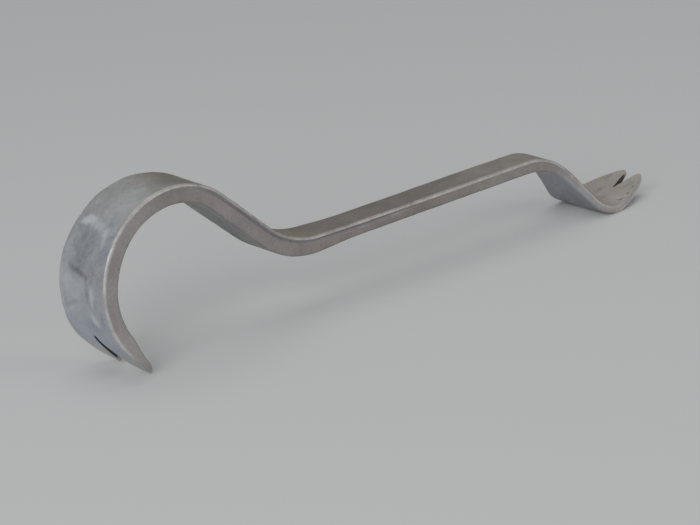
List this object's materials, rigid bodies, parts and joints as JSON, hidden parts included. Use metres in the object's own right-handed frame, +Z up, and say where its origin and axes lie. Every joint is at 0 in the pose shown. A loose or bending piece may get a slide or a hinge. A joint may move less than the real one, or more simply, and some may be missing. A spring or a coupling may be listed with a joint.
{
  "type": "hive tool",
  "caption": "Gooseneck hive tool: a forged steel bar with a round hook slit into pointed tines and a wide fishtail claw with a V notch.",
  "frame": {"origin": "on the surface the tool stands on, under the middle of its bounding box", "axes": "+X from the hook to the fishtail claw, +Y across the bar, +Z up, with the tool standing on the hook's tines and the claw's heel"},
  "size_m": [0.3024, 0.0372, 0.075],
  "materials": {
    "forged_steel": "dull forged and worn grey steel, brighter on the edges"
  },
  "bodies": {
    "root": {"forged_bar": "forged_steel"}
  },
  "joints": []
}
